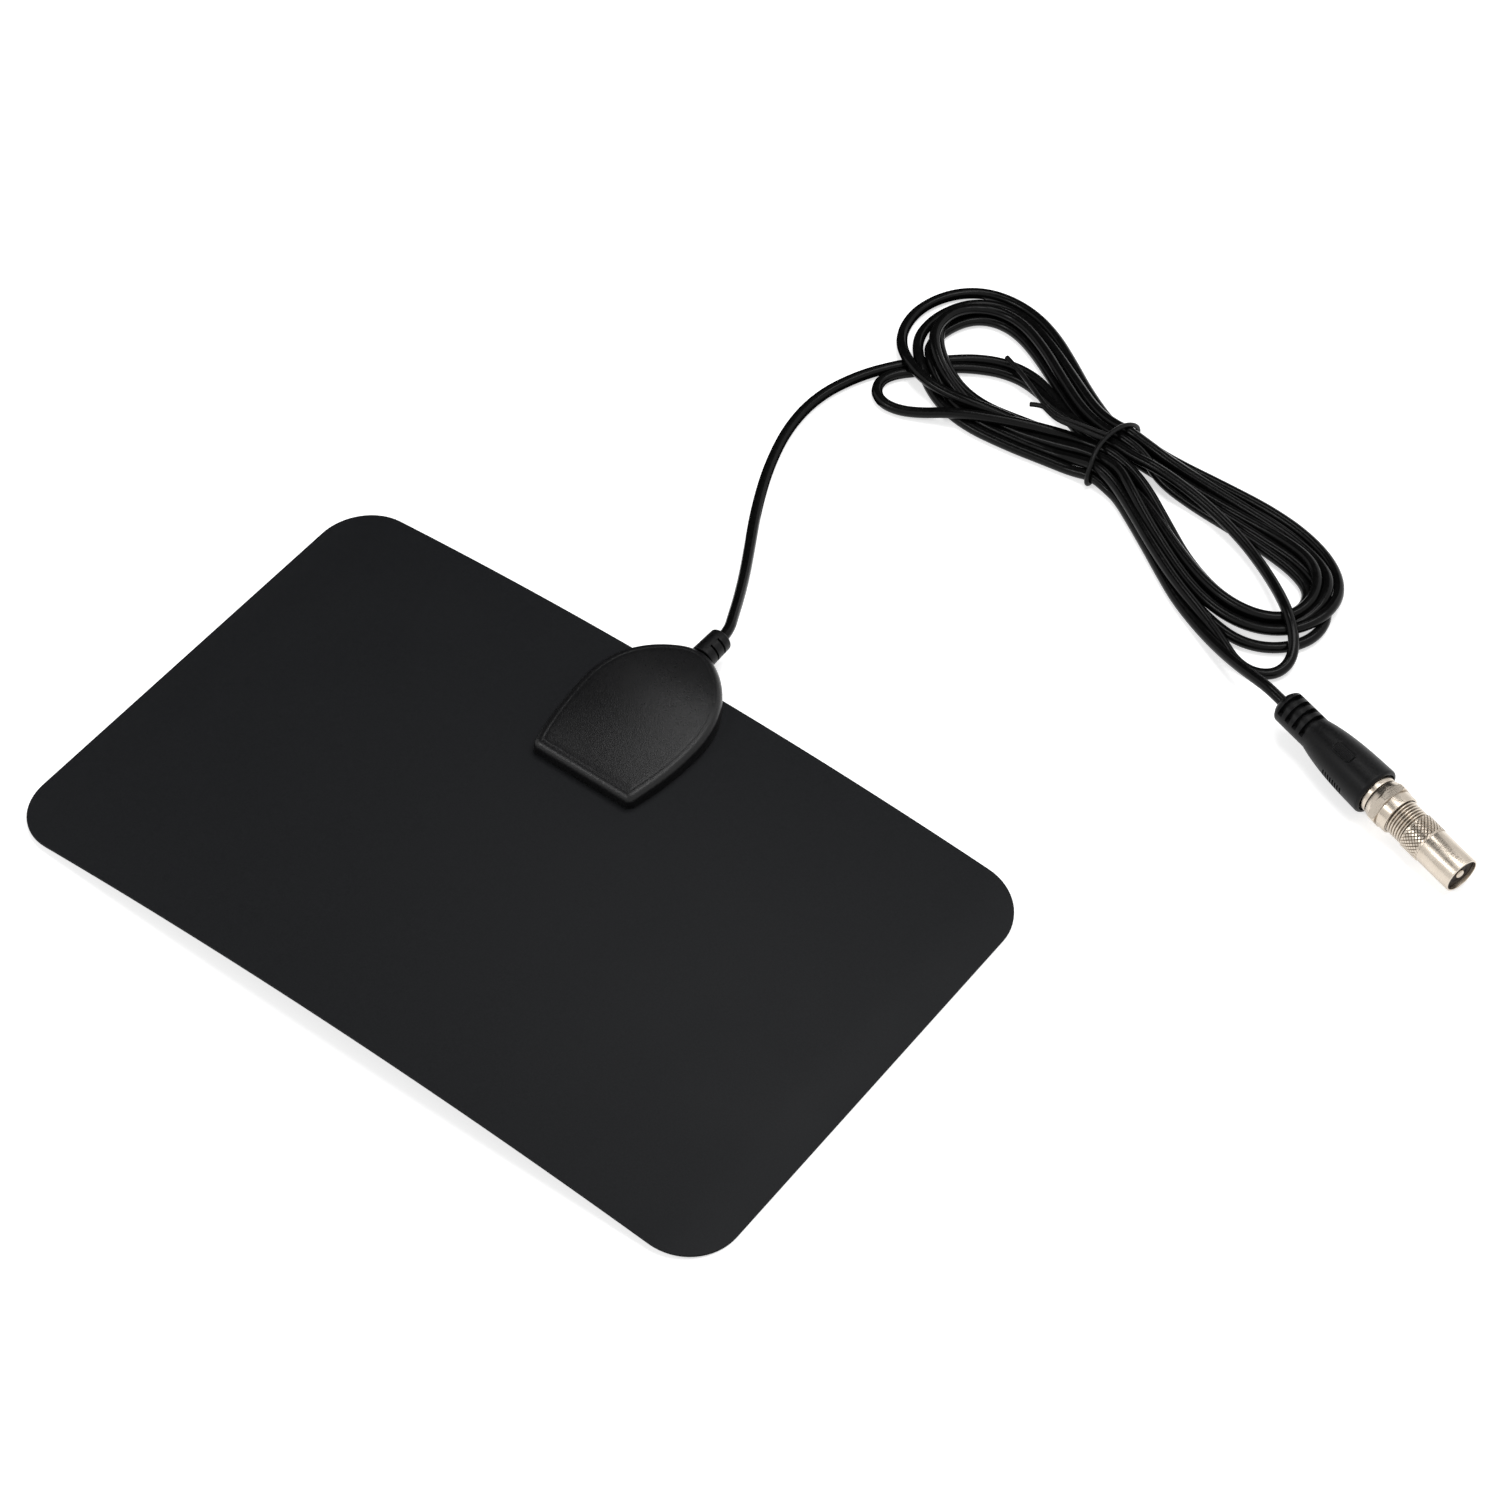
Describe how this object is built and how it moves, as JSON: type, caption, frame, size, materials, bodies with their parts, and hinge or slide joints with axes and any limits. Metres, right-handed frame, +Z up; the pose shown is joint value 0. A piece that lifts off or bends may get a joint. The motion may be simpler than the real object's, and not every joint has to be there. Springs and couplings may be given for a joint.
{
  "type": "flat indoor tv antenna",
  "caption": "Flat arched film antenna panel with a clamped-on cable housing, a tied hank of thin coaxial cable and an aerial plug with a swivel nut and a screwed-on push-in adapter.",
  "frame": {"origin": "on the table under the middle of the panel and housing, seen from above without the cable", "axes": "+X along the panel's long side, +Y from the panel towards the cable, +Z up from the table"},
  "size_m": [0.2877, 0.2895, 0.0134],
  "materials": {
    "film": "matte black film",
    "foil": "plain foil",
    "shell": "fine spark-textured black",
    "board": "green solder mask",
    "ferrite": "dark ferrite",
    "rivet": "plain",
    "cable": "smooth black jacket",
    "tie": "black plastic over wire",
    "boot": "moulded black",
    "core": "bare copper",
    "nickel": "bright nickel plate",
    "insulator": "dark brown moulded"
  },
  "bodies": {
    "antenna": {"front_film": "film", "back_film": "film", "left_element": "foil", "right_element": "foil", "top_shell": "shell", "bottom_shell": "shell", "matching_board": "board", "balun_core": "ferrite", "left_rivet": "rivet", "right_rivet": "rivet", "cable_gland": "boot", "cable_inlet": "cable", "cable_lead": "cable", "cable_hank": "cable", "cable_tail": "cable", "twist_tie": "tie", "cable_plug_end": "cable", "cable_core": "core", "plug_boot": "boot", "connector_body": "nickel", "connector_insulator": "insulator"},
    "nut": {"coupling_nut": "nickel"},
    "adapter": {"adapter_body": "nickel", "adapter_rear_insulator": "insulator", "adapter_front_insulator": "insulator", "adapter_pin": "nickel"}
  },
  "joints": [
    {"name": "nut_turn", "type": "hinge", "parent": "antenna", "child": "nut", "pos_m": [0.15716, 0.13211, 0.00622], "axis": [-0.9636, 0.2607, 0.0588], "range_deg": [0, 2063.62]},
    {"name": "adapter_slide", "type": "slide", "parent": "antenna", "child": "adapter", "axis": [0.9636, -0.2607, -0.0588], "range_m": [0, 0.00455]}
  ],
  "couplings": [
    {"joint": "nut_turn", "follows": "adapter_slide", "rad_per_m": 7915.8}
  ]
}
